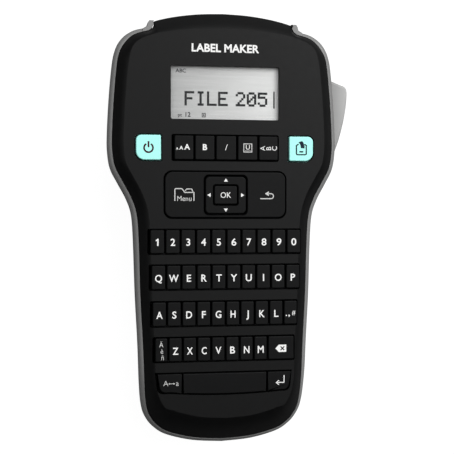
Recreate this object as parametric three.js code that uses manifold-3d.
// A hand-held label maker with a keyboard, lying on its back.
// Millimetres. +X is the right hand side, +Y the end where the label leaves, +Z out of the keyboard.
// The origin is on the flat back, on the centre line, between the two doors.

import * as THREE from 'three';
import { mergeVertices } from 'three/addons/utils/BufferGeometryUtils.js';
import Module from 'manifold-3d';

const wasm = await Module();
wasm.setup();

// ---------------------------------------------------------------- driving dimensions

const FACE_Z = 50;                 // the flat keyboard face
const KEY_TOP_Z = FACE_Z + 0.8;
const RIM_Z = FACE_Z - 8;          // where the grey rim is widest
const PARTING_Z = FACE_Z - 5;      // where the black cover meets the grey rim
const GAP = 0.3;                   // between pieces that rest on each other
const WALL = 2;                    // rear cover
const COVER_WALL = 2.2;            // front cover
const COVER_INSET = 2.5;           // the black cover's edge, inside the rim's outline
const BACK_INSET = 9;              // the flat back, inside the rim's outline
const SKIRT = 6.5;                 // how far the front cover reaches down inside the rim
const FAR = 200;                   // beyond any face of the object

// Right half of the rim's outline, from the lower end to the top end.
const OUTLINE = [
  [0, -105.3], [14.4, -104.2], [27.2, -100.9], [33.5, -96.9], [37.2, -92.3], [39.4, -86.5],
  [40.5, -76], [41.3, -56], [42.5, -33], [43.15, -10], [44.1, 5], [46.6, 13], [50.6, 20.5],
  [54.4, 28], [55.8, 36.5], [55.8, 46], [55, 61], [53.9, 74], [52.7, 82], [50.15, 88], [45.5, 92.4],
  [38.5, 94.8], [20, 97.1], [0, 98],
];
const POINTS_PER_SPAN = 2;

const HANDLE_BACK_Z = 4.5;          // the handle's back arches up this far for the fingers
const CHIN_DROP = 4;               // the face curves down at the lower end
const RIM_DROP = 7;
const PARTING_DROP = 4.5;

const HUMP = { half: 33.3, ends: 98.2, middle: 102.8, z: 42 };
// Where the rim turns up beside the hump: right half, from the middle outwards.
const RIM_END = [[0, 98.4], [35.8, 98.4], [36.5, 97.4], [36.9, 95.7], [38.9, 94.5], [39.5, 88], [0, 88]];
const END_PROFILE = [[7, 4.3], [4.4, 9], [2.2, 18], [0.7, 34], [0, 41.7]];   // how far the end slopes in, and z

const KEY_GAP = 0.8;
const CAP_INSET = 0.6;
const END_GAPS = [1.3, 0.5];       // from a row's opening to its first key and its last key
const WEB_Z = [42, 43.4];          // the flange that keeps a key under the cover
const WEB_LIP = 0.9;
const WEB_SIDE = 0.15;
const CAP_BEVEL = 0.5;

// The openings of the keyboard rows.
const NUMBER_ROW = { left: -37.3, right: 37, low: -13.1, high: -0.8 };
const UPPER_ROW = { left: -36.7, right: 36.5, low: -30.1, high: -17.65 };
const HOME_ROW = { left: -36.2, right: 35.3, low: -47.5, high: -35 };
const LOWER_ROW = { left: -35, right: 33.8, low: -64.3, high: -52, splits: [-27.6, 20.4] };
const BOTTOM_ROW = { left: -33.9, right: 32.4, low: -78.8, high: -69, sag: 1.8, splits: [-20.8, 20.1] };
const BOTTOM_WEB = [-32.1, 31.5];  // the lower end's round corners leave this much room for the bottom row's flange
const FORMAT_ROW = { left: -25.9, right: 25.9, low: 31.3, high: 44, splits: [-15.1, -5, 5.5, 15.8] };
const KEYS_PER_ROW = 10;
const LOWER_LETTERS = 7;

const PANEL = { half: 29.7, low: 3.9, high: 26.8, corner: 4, rings: 10.5, ringLow: 5.7, ringHigh: 24.7 };
const RING = { half: 9.8, low: 6.4, high: 24, corner: 1.8, z: 46, hole: 6.1 };
const OK_KEY = { half: 5.5, low: 10.85, high: 19.6 };
const SIDE_KEY = { inner: 30.4, outer: 43.4, low: 31.1, high: 44.1, topRadius: 3.3, lowRadius: 4.8, small: 0.6 };

const SCREEN = { half: 26.2, low: 51.25, high: 76.6, corner: 0.8 };

const BOARD_Z = [36, 37.6];
const MAT_Z = [39.2, 40.4];
const DISPLAY_Z = [41, 47.4];

const SCREWS = [[37, 22], [-37, 22], [30, -88.8], [-30, -88.8]];
const SCREW = { shank: 1.25, head: 2.4, headZ: [4, 5.7], tip: 27 };
const BOSS_SPLIT_Z = 20;           // the rear bosses end here and the front bosses begin

const BATTERY = { radius: 5.2, length: 43.7, nub: 0.8, nubRadius: 1.9, pitch: 10.8, first: -24.2, z: 12.9 };
const BATTERY_COUNT = 6;
const BAY = { half: 24, wall: 3.4, low: -84.1, high: -18.3, endWall: 1.4, frontWall: 4.3, ceiling: 18.8 };
const BATTERY_DOOR = { half: 25.5, high: -16.1, lipZ: 9 };

const CASSETTE_DOOR = { left: -43, right: 34, low: 30.2, high: 86, corner: 5, z: [0.8, 3.2] };
const DOOR_WINDOW = { left: -24, right: 6, low: 50, high: 66, corner: 2 };
const CASSETTE_Z = [4.2, 22.2];

const PLATE_Z = [24.3, 26];        // the drive frame's plate, over the cassette
const GEAR_Z = [27, 30];
const MODULE = 0.7;
const TAPE_X = 26;
const PLATEN = { x: 22.5, y: 72, radius: 3.1, shaft: 1.2, z: [5.5, 21.5] };
const TEETH = { idler: 26, platen: 14, motor: 12, ribbon: 18 };
const GEAR_HEADINGS = { platen: 130, motor: -60, ribbon: 200 };   // from the idler, in degrees
const MOTOR_RADIUS = 5;

const LEVER_PIVOT = { x: 48.7, y: 38, eye: 4.2, hole: 2.3 };
const LEVER_SPRING = { radius: 2.9, wire: 0.33, z: 10.5, rise: 0.8, turns: 1.5, leg: 6 };
const LEVER_Z = [13, 36.2];
const ARM_Z = [13, 23.5];
const ARM_NOSE = { x: 40.2, y: 88.5, radius: 1.5 };
const LEVER_SLOT = { low: 33.2, high: 74.5, z: [12.5, 36.7] };

const CARRIER = { x: [34.5, 38.3], y: [84.5, 90], z: [12, 23.5], travel: 7.2 };
const GUIDE_Y = [86.7, 88.1];      // the carrier's tongue, in its slot in the drive frame
const BEZEL_Z = [4.3, 41.7];
const TAPE_Z = [7, 19];
const SOCKET = { x: -22, z: 18, radius: 4.4, hole: 2.9, pin: 1, depth: 9 };

// ---------------------------------------------------------------- solids

function solid(geometry) {
  const bare = geometry.clone();
  bare.deleteAttribute('normal');
  bare.deleteAttribute('uv');
  const merged = mergeVertices(bare, 1e-5);
  const vertProperties = new Float32Array(merged.attributes.position.array);
  const triVerts = new Uint32Array(merged.index.array);
  return new wasm.Manifold(new wasm.Mesh({ numProp: 3, vertProperties, triVerts }));
}

function geometryOf(body) {
  const mesh = body.getMesh();
  const geometry = new THREE.BufferGeometry();
  geometry.setAttribute('position', new THREE.BufferAttribute(mesh.vertProperties, 3));
  geometry.setIndex(new THREE.BufferAttribute(mesh.triVerts, 1));
  return geometry;
}

function box(x0, x1, y0, y1, z0, z1) {
  const geometry = new THREE.BoxGeometry(x1 - x0, y1 - y0, z1 - z0);
  geometry.translate((x0 + x1) / 2, (y0 + y1) / 2, (z0 + z1) / 2);
  return solid(geometry);
}

// An upright cylinder.
function post(x, y, radius, z0, z1, sides = 20) {
  const geometry = new THREE.CylinderGeometry(radius, radius, z1 - z0, sides);
  geometry.rotateX(Math.PI / 2);
  geometry.translate(x, y, (z0 + z1) / 2);
  return solid(geometry);
}

// A cylinder along X.
function alongX(x0, x1, y, z, radius, sides = 14) {
  const geometry = new THREE.CylinderGeometry(radius, radius, x1 - x0, sides);
  geometry.rotateZ(Math.PI / 2);
  geometry.translate((x0 + x1) / 2, y, z);
  return solid(geometry);
}

// A cylinder along Y.
function alongY(x, z, y0, y1, radius, sides = 20) {
  const geometry = new THREE.CylinderGeometry(radius, radius, y1 - y0, sides);
  geometry.translate(x, (y0 + y1) / 2, z);
  return solid(geometry);
}

function prism(shape, z0, z1, curveSegments = 3) {
  const geometry = new THREE.ExtrudeGeometry(shape, { depth: z1 - z0, bevelEnabled: false, curveSegments });
  geometry.translate(0, 0, z0);
  return solid(geometry);
}

// A prism whose edges are chamfered inside its own outline.
function bevelled(shape, z0, z1, bevel = CAP_BEVEL, curveSegments = 1) {
  const geometry = new THREE.ExtrudeGeometry(shape, {
    depth: z1 - z0 - 2 * bevel,
    bevelThickness: bevel,
    bevelSize: bevel,
    bevelOffset: -bevel,
    bevelSegments: 1,
    curveSegments,
  });
  geometry.translate(0, 0, z0 + bevel);
  return solid(geometry);
}

function polygon(points) {
  return new THREE.Shape(points.map(([x, y]) => new THREE.Vector2(x, y)));
}

// A rectangle with its own radius at each corner: lower left, lower right, upper right, upper left.
function roundedRectangle(x0, x1, y0, y1, radii) {
  const [lowLeft, lowRight, topRight, topLeft] = Array.isArray(radii) ? radii : [radii, radii, radii, radii];
  const shape = new THREE.Shape();
  shape.moveTo(x0 + lowLeft, y0);
  shape.lineTo(x1 - lowRight, y0);
  shape.quadraticCurveTo(x1, y0, x1, y0 + lowRight);
  shape.lineTo(x1, y1 - topRight);
  shape.quadraticCurveTo(x1, y1, x1 - topRight, y1);
  shape.lineTo(x0 + topLeft, y1);
  shape.quadraticCurveTo(x0, y1, x0, y1 - topLeft);
  shape.lineTo(x0, y0 + lowLeft);
  shape.quadraticCurveTo(x0, y0, x0 + lowLeft, y0);
  return shape;
}

// A closed solid through rings of points that all hold the same number of points, listed
// anticlockwise. Each end is closed by strips between the points that mirror each other in X.
function loft(rings) {
  const count = rings[0].length;
  const positions = rings.flat(2);
  const index = [];
  for (let level = 0; level < rings.length - 1; level += 1) {
    for (let i = 0; i < count; i += 1) {
      const next = (i + 1) % count;
      const low = level * count;
      const high = low + count;
      index.push(low + i, low + next, high + next);
      index.push(low + i, high + next, high + i);
    }
  }
  const last = (rings.length - 1) * count;
  for (let i = 0; i < count / 2; i += 1) {
    const mirror = (count - i) % count;
    const nextMirror = count - i - 1;
    if (i > 0) {
      index.push(i, mirror, i + 1);
      index.push(last + i, last + i + 1, last + mirror);
    }
    if (i + 1 < nextMirror) {
      index.push(i + 1, mirror, nextMirror);
      index.push(last + i + 1, last + nextMirror, last + mirror);
    }
  }
  const geometry = new THREE.BufferGeometry();
  geometry.setAttribute('position', new THREE.Float32BufferAttribute(positions, 3));
  geometry.setIndex(index);
  return solid(geometry);
}

// ---------------------------------------------------------------- the housing's outline and heights

function blend(value, from, to) {
  const t = Math.min(1, Math.max(0, (value - from) / (to - from)));
  return t * t * (3 - 2 * t);
}

// The outline as a closed ring of points with outward normals, starting at the lower end.
function outlineRing(half, spans) {
  const curve = new THREE.SplineCurve(half.map(([x, y]) => new THREE.Vector2(x, y)));
  const right = curve.getPoints((half.length - 1) * spans);
  const left = right.slice(1, -1).reverse().map((p) => new THREE.Vector2(-p.x, p.y));
  const ring = right.concat(left);
  return ring.map((point, i) => {
    const before = ring[(i + ring.length - 1) % ring.length];
    const after = ring[(i + 1) % ring.length];
    const along = after.clone().sub(before).normalize();
    return { point, normal: new THREE.Vector2(along.y, -along.x) };
  });
}

const RING_POINTS = outlineRing(OUTLINE, POINTS_PER_SPAN);

// One level of the housing: the outline moved in by inset, at the height that the point's Y gives.
function level(inset, height) {
  return RING_POINTS.map(({ point, normal }) => [
    point.x - normal.x * inset,
    point.y - normal.y * inset,
    height(point.y),
  ]);
}

const backZ = (y) => HANDLE_BACK_Z * (blend(y, -12, -36) - blend(y, -82, -100));
const rimZ = (y) => RIM_Z - RIM_DROP * blend(y, -62, -106);
const partingZ = (y) => PARTING_Z - PARTING_DROP * blend(y, -66, -106);
const faceZ = (y) => FACE_Z - CHIN_DROP * blend(y, -88, -106);
const between = (low, high, t) => (y) => low(y) + t * (high(y) - low(y));
const raised = (height, by) => (y) => height(y) + by;
const flat = (z) => () => z;

// ---------------------------------------------------------------- rear cover

const SIDE_PROFILE = [[0, BACK_INSET], [0.035, 6.3], [0.1, 4.7], [0.28, 2.8], [0.6, 1.1]];

function rearOuter() {
  const side = SIDE_PROFILE.map(([t, inset]) => level(inset, between(backZ, rimZ, t)));
  const curl = [[0, 0], [1, 1.3]].map(([t, inset]) => level(inset, between(rimZ, partingZ, t)));
  return loft([...side, ...curl]).add(rimEnds());
}

function rimEnds() {
  const right = RIM_END.toReversed();
  const left = RIM_END.slice(1, -1).map(([x, y]) => [-x, y]);
  const ring = (inset, z) => right.concat(left).map(([x, y]) => [x, y - (y > 88 ? inset : 0), z]);
  return loft([...END_PROFILE.map(([inset, z]) => ring(inset, z)), ring(0.2, PARTING_Z)]);
}

// The space inside the rear cover, for a wall of the given thickness.
function rearCavity(wall) {
  return loft([
    level(BACK_INSET + wall * 0.7, raised(backZ, wall)),
    level(4.4 + wall, between(backZ, rimZ, 0.13)),
    level(2.3 + wall, between(backZ, rimZ, 0.29)),
    level(0.9 + wall, between(backZ, rimZ, 0.6)),
    level(COVER_INSET - GAP - 0.1, between(backZ, rimZ, 0.84)),
    level(COVER_INSET - GAP - 0.1, flat(FAR)),
  ]);
}

// The wall between the rear cover's two skins that the battery door takes up.
function batteryDoorSpace(clearance) {
  const { half, high, lipZ } = BATTERY_DOOR;
  const region = box(-half - clearance, half + clearance, -FAR, high + clearance, -1, lipZ + clearance);
  return region.subtract(rearCavity(WALL + clearance));
}

function cassetteDoorShape(clearance) {
  const { left, right, low, high, corner } = CASSETTE_DOOR;
  return roundedRectangle(left - clearance, right + clearance, low, high + clearance, [0, 0, corner, corner]);
}

function rearScrewBosses() {
  const bosses = SCREWS.map(([x, y]) => post(x, y, 3.6, 0.5, BOSS_SPLIT_Z));
  return bosses.reduce((all, boss) => all.add(boss));
}

function rearScrewHoles() {
  const holes = SCREWS.map(([x, y]) => {
    const shank = post(x, y, SCREW.shank + GAP, -1, BOSS_SPLIT_Z + 1);
    const counterbore = post(x, y, SCREW.head + GAP, -1, SCREW.headZ[1] + GAP);
    return shank.add(counterbore);
  });
  return holes.reduce((all, hole) => all.add(hole));
}

function batteryBay() {
  const { half, wall, low, high, endWall, frontWall, ceiling } = BAY;
  const shell = box(-half - wall, half + wall, low - endWall, high + frontWall, 0.5, ceiling + endWall);
  return shell.subtract(box(-half, half, low, high, -1, ceiling));
}

// The room over the battery door that its highest part needs on the way out.
function batteryDoorTravel() {
  const half = BATTERY_DOOR.half + GAP;
  return box(-half, half, -FAR, -60, -1, HANDLE_BACK_Z + WALL + GAP);
}

function rearCover() {
  const { left, right, low } = CASSETTE_DOOR;
  const pivot = LEVER_PIVOT;
  const outer = rearOuter();
  const knuckleY = [low - 3, low + 3];
  const knuckles = box(left - 3.4, left - 0.5, ...knuckleY, 0.2, 4.6)
    .add(box(right + 0.5, right + 3.4, ...knuckleY, 0.2, 4.6));
  const fittings = rearScrewBosses()
    .add(batteryBay())
    .add(post(pivot.x, pivot.y, 4.2, 0.5, 9.8))
    .add(knuckles)
    .intersect(outer);
  const doorHole = prism(cassetteDoorShape(0.6), -1, 5)
    .add(box(left - 0.6, right + 0.6, low - 1.9, low + 1, -1, 5));
  const trunnions = alongX(left - 2.5, right + 2.5, low, 2, 1.2);
  return outer
    .subtract(rearCavity(WALL))
    .add(fittings)
    .subtract(rearScrewHoles())
    .subtract(doorHole)
    .subtract(trunnions)
    .subtract(batteryDoorSpace(GAP))
    .subtract(batteryDoorTravel())
    .subtract(post(pivot.x, pivot.y, pivot.hole, 4, 13))
    .subtract(post(pivot.x, pivot.y, 3.6, 9.8, 13))
    .subtract(box(44, 60, LEVER_SLOT.low, LEVER_SLOT.high, ...LEVER_SLOT.z))
    .subtract(box(-HUMP.half - GAP, HUMP.half + GAP, 90.5, FAR, BEZEL_Z[0] - GAP, FAR));
}

// ---------------------------------------------------------------- front cover

// The D shape of the hump over the label exit, moved in by inset.
function humpRing(inset, z, back = 88, half = HUMP.half - inset) {
  const { ends, middle } = HUMP;
  const steps = 12;
  const points = [];
  for (let i = 0; i <= steps; i += 1) {
    const across = 1 - (2 * i) / steps;
    const y = ends + (middle - ends) * (1 - across * across) - inset;
    points.push([across * half, y, z]);
  }
  const start = [[0, back, z], [half, back, z]];
  return start.concat(points, [[-half, back, z]]);
}

function humpOuter() {
  return loft([[0, HUMP.z], [0.2, 45], [1.2, 48], [2.8, 49.5], [5.2, FACE_Z]]
    .map(([inset, z]) => humpRing(inset, z)));
}

function humpCavity() {
  return loft([humpRing(COVER_WALL, 41), humpRing(COVER_WALL + 0.4, 45), humpRing(5, FACE_Z - COVER_WALL)]);
}

function coverOuter() {
  return loft([
    level(COVER_INSET, raised(partingZ, -SKIRT)),
    level(COVER_INSET, raised(partingZ, 0.3)),
    level(3.7, between(partingZ, faceZ, 0.62)),
    level(5.2, between(partingZ, faceZ, 0.92)),
    level(7.4, faceZ),
  ]);
}

function coverCavity() {
  return loft([
    level(COVER_INSET + 2, raised(partingZ, -SKIRT - 2)),
    level(COVER_INSET + 2, raised(partingZ, -0.5)),
    level(7.2, raised(faceZ, -COVER_WALL)),
  ]);
}

function rowShape({ left, right, low, high }) {
  return roundedRectangle(left, right, low, high, 0.8);
}

// The bottom row's opening, whose lower edge bows down in the middle.
function bottomRowShape(inset, leftInset = inset) {
  const { low, high, sag } = BOTTOM_ROW;
  const right = BOTTOM_ROW.right - inset;
  const left = BOTTOM_ROW.left + leftInset;
  const corner = 2;
  const bottom = low + inset;
  const shape = new THREE.Shape();
  shape.moveTo(left, high - inset);
  shape.lineTo(left + 0.8, bottom + corner);
  shape.quadraticCurveTo(left + 1.2, bottom, left + 3.4, bottom - 0.2);
  shape.quadraticCurveTo(0, bottom - 2 * sag, right - 3.4, bottom - 0.2);
  shape.quadraticCurveTo(right - 1.2, bottom, right - 0.8, bottom + corner);
  shape.lineTo(right, high - inset);
  return shape;
}

function panelShape(inset) {
  const { half, low, high, corner } = PANEL;
  return roundedRectangle(-half + inset, half - inset, low + inset, high - inset, corner);
}

// The teal key at the left (side -1) or the right (side 1).
function sideKeyShape(side, inset) {
  const { inner, outer, low, high, topRadius, lowRadius, small } = SIDE_KEY;
  const x0 = side < 0 ? -outer : inner;
  const x1 = side < 0 ? -inner : outer;
  const radii = side < 0 ? [lowRadius, small, small, topRadius] : [small, lowRadius, topRadius, small];
  return roundedRectangle(x0 + inset, x1 - inset, low + inset, high - inset, radii);
}

function screenShape(inset) {
  const { half, low, high, corner } = SCREEN;
  return roundedRectangle(-half + inset, half - inset, low + inset, high - inset, corner);
}

function faceOpenings() {
  const shapes = [
    rowShape(NUMBER_ROW), rowShape(UPPER_ROW), rowShape(HOME_ROW), rowShape(LOWER_ROW), rowShape(FORMAT_ROW),
    bottomRowShape(0), panelShape(0), sideKeyShape(-1, 0), sideKeyShape(1, 0), screenShape(0),
  ];
  return shapes.map((shape) => prism(shape, 44, 60)).reduce((all, opening) => all.add(opening));
}

function frontCover() {
  const outer = coverOuter();
  const bosses = SCREWS.map(([x, y]) => post(x, y, 3, BOSS_SPLIT_Z + GAP, FACE_Z - 1.5))
    .reduce((all, boss) => all.add(boss));
  const clippedBosses = bosses.subtract(box(-FAR, FAR, -FAR, FAR, PARTING_Z - 5, FAR).subtract(outer));
  const bores = SCREWS.map(([x, y]) => post(x, y, SCREW.shank + GAP, BOSS_SPLIT_Z, SCREW.tip + 3))
    .reduce((all, bore) => all.add(bore));
  const shell = outer.add(humpOuter())
    .subtract(coverCavity())
    .subtract(humpCavity())
    .subtract(box(-HUMP.half - GAP, HUMP.half + GAP, 86, FAR, 0, HUMP.z));
  return shell.add(clippedBosses).subtract(bores).subtract(faceOpenings());
}

// The end piece under the hump, with the slit that the label leaves through.
function exitBezel() {
  const back = 90.8;
  const recess = 0.4;
  const body = loft(END_PROFILE.map(([inset, z]) => humpRing(inset + recess, z, back, HUMP.half - GAP)));
  const pocket = box(-30, 31, back - 1, back + 2.6, 9, 39);
  const slit = box(TAPE_X - 1.1, TAPE_X + 1.1, back - 1, FAR, TAPE_Z[0] - 1, TAPE_Z[1] + 1);
  const socketHole = alongY(SOCKET.x, SOCKET.z, back - 1, FAR, SOCKET.radius + GAP);
  return body.subtract(pocket).subtract(slit).subtract(socketHole);
}

function powerSocket() {
  const { x, z, radius, hole, pin, depth } = SOCKET;
  const mouth = 98.2;
  const cup = alongY(x, z, mouth - depth - 2, mouth, radius)
    .subtract(alongY(x, z, mouth - depth, FAR, hole));
  return cup.add(alongY(x, z, mouth - depth - 1, mouth - 1, pin, 10));
}

// ---------------------------------------------------------------- keys

function withWeb(cap, x0, x1, y0, y1) {
  return cap.add(box(x0 - WEB_SIDE, x1 + WEB_SIDE, y0 - WEB_LIP, y1 + WEB_LIP, ...WEB_Z));
}

// One strip of equal keys on a common web, from x0 to x1.
function keyStrip({ low, high }, x0, x1, count) {
  const pitch = (x1 - x0 + KEY_GAP) / count;
  let strip = box(x0 - WEB_SIDE, x1 + WEB_SIDE, low - WEB_LIP, high + WEB_LIP, ...WEB_Z);
  for (let i = 0; i < count; i += 1) {
    const left = x0 + i * pitch;
    const shape = roundedRectangle(left, left + pitch - KEY_GAP, low + CAP_INSET, high - CAP_INSET, 0.7);
    strip = strip.add(bevelled(shape, WEB_Z[0] + 0.2, KEY_TOP_Z));
  }
  return strip;
}

function fullStrip(row) {
  return keyStrip(row, row.left + END_GAPS[0], row.right - END_GAPS[1], KEYS_PER_ROW);
}

// A single key that fills a row's opening from x0 to x1.
function rowKey({ low, high }, x0, x1) {
  const shape = roundedRectangle(x0, x1, low + CAP_INSET, high - CAP_INSET, 0.7);
  return withWeb(bevelled(shape, WEB_Z[0], KEY_TOP_Z), x0, x1, low, high);
}

function bottomKey(x0, x1) {
  const { low, high, sag } = BOTTOM_ROW;
  const caps = bevelled(bottomRowShape(CAP_INSET, END_GAPS[0]), WEB_Z[0], KEY_TOP_Z, CAP_BEVEL, 4);
  const cap = caps.intersect(box(x0, x1, -FAR, FAR, 0, FAR));
  return withWeb(cap, Math.max(x0, BOTTOM_WEB[0]), Math.min(x1, BOTTOM_WEB[1]), low - sag, high);
}

function sideKey(side) {
  const shape = sideKeyShape(side, CAP_INSET);
  return bevelled(shape, WEB_Z[0], KEY_TOP_Z).add(prism(sideKeyShape(side, -WEB_LIP), ...WEB_Z));
}

function menuBackPanel() {
  const { rings, ringLow, ringHigh } = PANEL;
  const plate = bevelled(panelShape(CAP_INSET), WEB_Z[0], KEY_TOP_Z, CAP_BEVEL, 4)
    .add(prism(panelShape(-WEB_LIP), ...WEB_Z));
  return plate.subtract(prism(roundedRectangle(-rings, rings, ringLow, ringHigh, 2.2), 0, FAR));
}

function arrowRing() {
  const { half, low, high, corner, z, hole } = RING;
  const holeGap = hole - OK_KEY.half;
  const outer = bevelled(roundedRectangle(-half, half, low, high, corner), z, KEY_TOP_Z);
  return outer.subtract(prism(
    roundedRectangle(-hole, hole, OK_KEY.low - holeGap, OK_KEY.high + holeGap, 1),
    0,
    FAR,
  ));
}

function arrowDome() {
  const middle = (RING.low + RING.high) / 2;
  const outer = box(-9, 9, middle - 7.6, middle + 7.6, 42, 45.2);
  const hole = box(-OK_KEY.half - 0.9, OK_KEY.half + 0.9, middle - 5.7, middle + 5.7, 0, FAR);
  return outer.subtract(hole);
}

function okButton() {
  const { half, low, high } = OK_KEY;
  return bevelled(roundedRectangle(-half, half, low, high, 0.8), WEB_Z[0], KEY_TOP_Z);
}

// ---------------------------------------------------------------- display, board and mat

function lcdWindow() {
  return bevelled(screenShape(CAP_INSET), FACE_Z - 2, FACE_Z - 0.2, 0.2, 2);
}

function lcdModule() {
  return box(-29, 29, 48.4, 79.4, ...DISPLAY_Z);
}

// The board's outline: narrow between the screw bosses and wider under the teal keys.
function boardShape(inset) {
  const narrow = 33.2 - inset;
  const wide = 43.5 - inset;
  const points = [
    [narrow, -83 + inset], [narrow, 28], [wide, 31 + inset], [wide, 46 - inset],
    [-wide, 46 - inset], [-wide, 31 + inset], [-narrow, 28], [-narrow, -83 + inset],
  ];
  return polygon(points);
}

// ---------------------------------------------------------------- doors, cells and contacts

function cassetteDoor() {
  const { left, right, low, z } = CASSETTE_DOOR;
  const axisZ = (z[0] + z[1]) / 2;
  const opening = DOOR_WINDOW;
  const grip = box(-12, 4, 83, 84.2, z[1] - 0.2, z[1] + 0.8);
  const windowHole = roundedRectangle(opening.left, opening.right, opening.low, opening.high, opening.corner);
  return prism(cassetteDoorShape(0), ...z)
    .add(alongX(left, right, low, axisZ, (z[1] - z[0]) / 2))
    .add(alongX(left - 2.2, right + 2.2, low, axisZ, 0.9))
    .add(grip)
    .subtract(prism(windowHole, 0, 5));
}

function cassetteWindow() {
  const { left, right, low, high, corner } = DOOR_WINDOW;
  const shape = roundedRectangle(left + GAP, right - GAP, low + GAP, high - GAP, corner);
  return prism(shape, 1.2, 2.6);
}

function batteryDoor() {
  return batteryDoorSpace(0).intersect(rearOuter());
}

// A dry cell along X, with its raised end at +X, or at -X when facing is -1.
function battery(index, facing) {
  const { radius, length, nub, nubRadius, pitch, first, z } = BATTERY;
  const end = length / 2;
  const profile = [
    [0, -end], [radius - 0.6, -end], [radius, -end + 0.6], [radius, end - 1.2],
    [radius - 0.8, end - 0.2], [nubRadius, end - 0.2], [nubRadius, end + nub], [0, end + nub],
  ];
  const geometry = new THREE.LatheGeometry(profile.map(([r, h]) => new THREE.Vector2(r, h)), 16);
  geometry.rotateZ(-facing * Math.PI / 2);
  geometry.translate(0, first - index * pitch, z);
  return solid(geometry);
}

function contactPlate(side) {
  const x0 = side * (BATTERY.length / 2 + BATTERY.nub + GAP);
  const x1 = x0 + side * 0.6;
  return box(Math.min(x0, x1), Math.max(x0, x1), BAY.low + 0.6, BAY.high - 0.6, 8.6, 17.4);
}

// ---------------------------------------------------------------- tape drive

const IDLER = heading(PLATEN, GEAR_HEADINGS.platen + 180, pitchDistance('platen'));
const MOTOR = heading(IDLER, GEAR_HEADINGS.motor, pitchDistance('motor'));
const RIBBON = heading(IDLER, GEAR_HEADINGS.ribbon, pitchDistance('ribbon'));

function pitchDistance(name) {
  return (MODULE * (TEETH.idler + TEETH[name])) / 2;
}

function heading({ x, y }, degrees, distance) {
  const angle = THREE.MathUtils.degToRad(degrees);
  return { x: x + distance * Math.cos(angle), y: y + distance * Math.sin(angle) };
}

// A spur gear with its first tooth at the given angle, in radians. The teeth are thin enough to run freely.
function spurGear({ x, y }, teeth, phase, hole = 0) {
  const pitchRadius = (MODULE * teeth) / 2;
  const root = pitchRadius - 1.1 * MODULE;
  const tip = pitchRadius + 0.75 * MODULE;
  const step = (2 * Math.PI) / teeth;
  const points = [];
  for (let i = 0; i < teeth; i += 1) {
    const middle = phase + i * step;
    [[root, -0.3], [tip, -0.1], [tip, 0.1], [root, 0.3]].forEach(([radius, share]) => {
      const angle = middle + share * step;
      points.push([x + radius * Math.cos(angle), y + radius * Math.sin(angle)]);
    });
  }
  const gear = prism(polygon(points), ...GEAR_Z);
  return hole > 0 ? gear.subtract(post(x, y, hole, 0, FAR)) : gear;
}

// The phase that puts a tooth gap of the named gear opposite the idler's nearest tooth.
function meshedPhase(name) {
  const towards = THREE.MathUtils.degToRad(GEAR_HEADINGS[name]);
  const idlerShare = (towards * TEETH.idler) / (2 * Math.PI);
  return towards + Math.PI - ((0.5 - idlerShare) * 2 * Math.PI) / TEETH[name];
}

function mechFrame() {
  const holeShaft = PLATEN.shaft + GAP;
  const plate = prism(roundedRectangle(-44, 41, 31, 90.3, 3), ...PLATE_Z);
  const idlerPost = post(IDLER.x, IDLER.y, 1.5, PLATE_Z[0] + 0.2, GEAR_Z[1] + 1);
  const { x, travel } = CARRIER;
  const guide = box(x[0] - travel - GAP, x[1] + GAP, GUIDE_Y[0] - GAP, GUIDE_Y[1] + GAP, 0, FAR);
  return plate.add(idlerPost)
    .subtract(guide)
    .subtract(post(PLATEN.x, PLATEN.y, holeShaft, 0, FAR))
    .subtract(post(MOTOR.x, MOTOR.y, 2.2, 0, FAR))
    .subtract(post(RIBBON.x, RIBBON.y, 2.3, 0, FAR));
}

function platenRoller() {
  const bore = PLATEN.shaft + GAP;
  return post(PLATEN.x, PLATEN.y, PLATEN.radius, ...PLATEN.z, 24)
    .subtract(post(PLATEN.x, PLATEN.y, bore, 0, FAR));
}

function platenGear() {
  return spurGear(PLATEN, TEETH.platen, meshedPhase('platen'))
    .add(post(PLATEN.x, PLATEN.y, PLATEN.shaft, 4.2, GEAR_Z[0] + 0.5));
}

function motorPinion() {
  return spurGear(MOTOR, TEETH.motor, meshedPhase('motor'), 1.1);
}

function driveMotor() {
  return post(MOTOR.x, MOTOR.y, MOTOR_RADIUS, 4, PLATE_Z[0] - GAP)
    .add(post(MOTOR.x, MOTOR.y, 0.8, PLATE_Z[0] - 1, GEAR_Z[1] + 0.5, 12));
}

function ribbonSpindle() {
  const fins = box(RIBBON.x - 2.4, RIBBON.x + 2.4, RIBBON.y - 0.5, RIBBON.y + 0.5, 8, 21)
    .add(box(RIBBON.x - 0.5, RIBBON.x + 0.5, RIBBON.y - 2.4, RIBBON.y + 2.4, 8, 21));
  return spurGear(RIBBON, TEETH.ribbon, meshedPhase('ribbon'))
    .add(post(RIBBON.x, RIBBON.y, 1.9, 7, GEAR_Z[0] + 0.5))
    .add(fins);
}

function printHead() {
  return box(TAPE_X + 0.5, TAPE_X + 4.5, PLATEN.y - 4, PLATEN.y + 4, 5.5, PLATE_Z[0] - GAP);
}

function tapeCassette() {
  const outline = polygon([
    [-41, 33], [30, 33], [30, 48], [24.5, 48], [24.5, 61.5], [16.8, 61.5], [16.8, 83], [-41, 83],
  ]);
  const hub = post(-16, 58, 6, CASSETTE_Z[0] - 1, CASSETTE_Z[0] + 3, 24);
  return prism(outline, ...CASSETTE_Z)
    .subtract(post(RIBBON.x, RIBBON.y, 3.4, 0, FAR))
    .subtract(hub);
}

function labelTape() {
  return box(TAPE_X - 0.1, TAPE_X + 0.1, 48 + GAP, 95, ...TAPE_Z);
}

// ---------------------------------------------------------------- cutter

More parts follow.
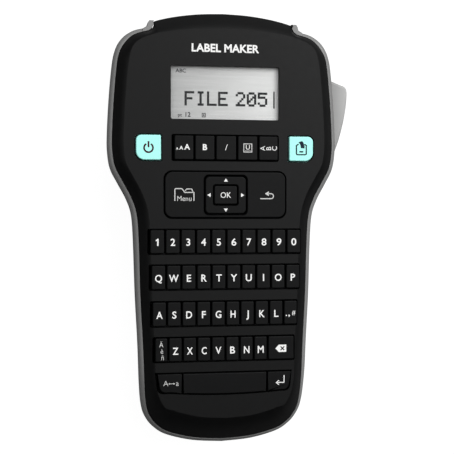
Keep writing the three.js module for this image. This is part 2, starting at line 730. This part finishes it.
function cutterLever() {
  const { x, y, eye, hole } = LEVER_PIVOT;
  const paddle = new THREE.Shape();
  paddle.moveTo(46.3, 38);
  paddle.lineTo(49.5, 34);
  paddle.lineTo(55.6, 34);
  paddle.quadraticCurveTo(56.9, 34.4, 57.4, 36.2);
  paddle.bezierCurveTo(61.1, 46, 63.8, 55.7, 64.2, 65.5);
  paddle.quadraticCurveTo(64.4, 69.2, 62.6, 70);
  paddle.lineTo(55.9, 72.6);
  paddle.lineTo(52, 73.2);
  paddle.lineTo(48.6, 73.4);
  paddle.lineTo(46.3, 69);
  const arm = polygon([[46.3, 55], [50, 60], [49.4, 69.5], [41.6, 89], [38.9, 87.9], [46.3, 66]]);
  return bevelled(paddle, ...LEVER_Z, 0.8, 5)
    .add(post(x, y, eye, ...LEVER_Z))
    .add(prism(arm, ...ARM_Z))
    .add(post(ARM_NOSE.x, ARM_NOSE.y, ARM_NOSE.radius, ...ARM_Z, 16))
    .subtract(post(x, y, hole, 0, FAR));
}

function leverPin() {
  return post(LEVER_PIVOT.x, LEVER_PIVOT.y, LEVER_PIVOT.hole - GAP, 4 + GAP, 37.2);
}

// A torsion spring round the lever's pin, with one straight leg.
function leverSpring() {
  const { radius, wire, z, rise, turns, leg } = LEVER_SPRING;
  const perTurn = 12;
  const points = [];
  for (let i = 0; i <= turns * perTurn; i += 1) {
    const angle = (2 * Math.PI * i) / perTurn;
    points.push(new THREE.Vector3(
      LEVER_PIVOT.x + radius * Math.cos(angle),
      LEVER_PIVOT.y + radius * Math.sin(angle),
      z + (rise * i) / perTurn,
    ));
  }
  const end = points.at(-1);
  points.push(new THREE.Vector3(end.x, end.y - leg, end.z));
  const section = new THREE.Shape();
  section.absarc(0, 0, wire, 0, 2 * Math.PI);
  return solid(new THREE.ExtrudeGeometry(section, {
    steps: 32,
    curveSegments: 3,
    extrudePath: new THREE.CatmullRomCurve3(points),
  }));
}

function bladeCarrier() {
  const block = box(...CARRIER.x, ...CARRIER.y, ...CARRIER.z);
  const tongue = box(...CARRIER.x, ...GUIDE_Y, CARRIER.z[1] - 0.5, PLATE_Z[1] - 0.3);
  const bladeSlot = box(0, CARRIER.x[1] - 1, 86.9, 87.9, 0, 20.5);
  return block.add(tongue).subtract(bladeSlot);
}

function cutterBlade() {
  return box(CARRIER.x[0] - 1.1, CARRIER.x[1] - 1.3, 87.2, 87.6, 6.5, 20.2);
}

// ---------------------------------------------------------------- screws

function housingScrew([x, y]) {
  const head = post(x, y, SCREW.head, ...SCREW.headZ).subtract(box(x - 1.4, x + 1.4, y - 0.25, y + 0.25, 0, 4.7))
    .subtract(box(x - 0.25, x + 0.25, y - 1.4, y + 1.4, 0, 4.7));
  return head.add(post(x, y, SCREW.shank, SCREW.headZ[1] - 0.3, SCREW.tip, 12));
}

// ---------------------------------------------------------------- assembly

const COLOURS = {
  black: [0x232427, 0.45, 0],
  key: [0x1c1d1f, 0.55, 0],
  grey: [0x8d9095, 0.4, 0.1],
  leverGrey: [0xb9bcc0, 0.4, 0.1],
  teal: [0xa9f7ee, 0.45, 0],
  clear: [0xe8eef0, 0.1, 0],
  screen: [0xb9bec2, 0.35, 0],
  board: [0x1f5b37, 0.6, 0],
  rubber: [0x3a3b3d, 0.9, 0],
  steel: [0xa7abb0, 0.35, 0.9],
  nylon: [0xdad7cd, 0.6, 0],
  cell: [0x3f5f7d, 0.4, 0.4],
  tape: [0xf1f1ee, 0.6, 0],
};

const labelMaker = new THREE.Group();

function piece(name, body, colour) {
  const [color, roughness, metalness] = COLOURS[colour];
  const material = new THREE.MeshStandardMaterial({ color, roughness, metalness });
  const mesh = new THREE.Mesh(geometryOf(body), material);
  mesh.name = name;
  labelMaker.add(mesh);
}

function splitKeys(names, row, makeKey) {
  const edges = [row.left + END_GAPS[0], ...row.splits, row.right - END_GAPS[1]];
  names.forEach((name, i) => {
    const x0 = edges[i] + (i > 0 ? KEY_GAP / 2 : 0);
    const x1 = edges[i + 1] - (i < names.length - 1 ? KEY_GAP / 2 : 0);
    piece(name, makeKey(x0, x1), 'key');
  });
}

piece('front_cover', frontCover(), 'black');
piece('rear_cover', rearCover(), 'grey');
piece('exit_bezel', exitBezel(), 'black');
piece('lcd_window', lcdWindow(), 'clear');
piece('lcd_module', lcdModule(), 'screen');
piece('main_board', prism(boardShape(0), ...BOARD_Z), 'board');
piece('key_mat', prism(boardShape(0.6), ...MAT_Z), 'rubber');

piece('power_button', sideKey(-1), 'teal');
piece('print_button', sideKey(1), 'teal');
splitKeys(['font_size_key', 'bold_key', 'italic_key', 'underline_key', 'vertical_text_key'], FORMAT_ROW,
  (x0, x1) => rowKey(FORMAT_ROW, x0, x1));
piece('menu_back_panel', menuBackPanel(), 'key');
piece('arrow_dome', arrowDome(), 'rubber');
piece('arrow_ring', arrowRing(), 'key');
piece('ok_button', okButton(), 'key');
piece('number_keys', fullStrip(NUMBER_ROW), 'key');
piece('upper_letter_keys', fullStrip(UPPER_ROW), 'key');
piece('home_letter_keys', fullStrip(HOME_ROW), 'key');
splitKeys(['accent_key', 'lower_letter_keys', 'backspace_key'], LOWER_ROW, (x0, x1) => (
  x1 - x0 > 20 ? keyStrip(LOWER_ROW, x0, x1, LOWER_LETTERS) : rowKey(LOWER_ROW, x0, x1)
));
splitKeys(['caps_key', 'space_bar', 'return_key'], BOTTOM_ROW, bottomKey);

piece('cassette_door', cassetteDoor(), 'grey');
piece('cassette_window', cassetteWindow(), 'clear');
piece('battery_door', batteryDoor(), 'grey');
for (let i = 0; i < BATTERY_COUNT; i += 1) {
  piece(`battery_${i + 1}`, battery(i, i % 2 === 0 ? 1 : -1), 'cell');
}
piece('left_contact_plate', contactPlate(-1), 'steel');
piece('right_contact_plate', contactPlate(1), 'steel');
piece('power_socket', powerSocket(), 'steel');

piece('drive_frame', mechFrame(), 'rubber');
piece('print_head', printHead(), 'steel');
piece('platen_roller', platenRoller(), 'rubber');
piece('platen_gear', platenGear(), 'nylon');
piece('idler_gear', spurGear(IDLER, TEETH.idler, 0, 1.8), 'nylon');
piece('drive_motor', driveMotor(), 'steel');
piece('motor_pinion', motorPinion(), 'nylon');
piece('ribbon_spindle', ribbonSpindle(), 'nylon');
piece('tape_cassette', tapeCassette(), 'rubber');
piece('label_tape', labelTape(), 'tape');

piece('cutter_lever', cutterLever(), 'leverGrey');
piece('lever_pin', leverPin(), 'steel');
piece('lever_spring', leverSpring(), 'steel');
piece('blade_carrier', bladeCarrier(), 'nylon');
piece('cutter_blade', cutterBlade(), 'steel');

SCREWS.forEach((place, i) => piece(`housing_screw_${i + 1}`, housingScrew(place), 'steel'));

export default labelMaker;
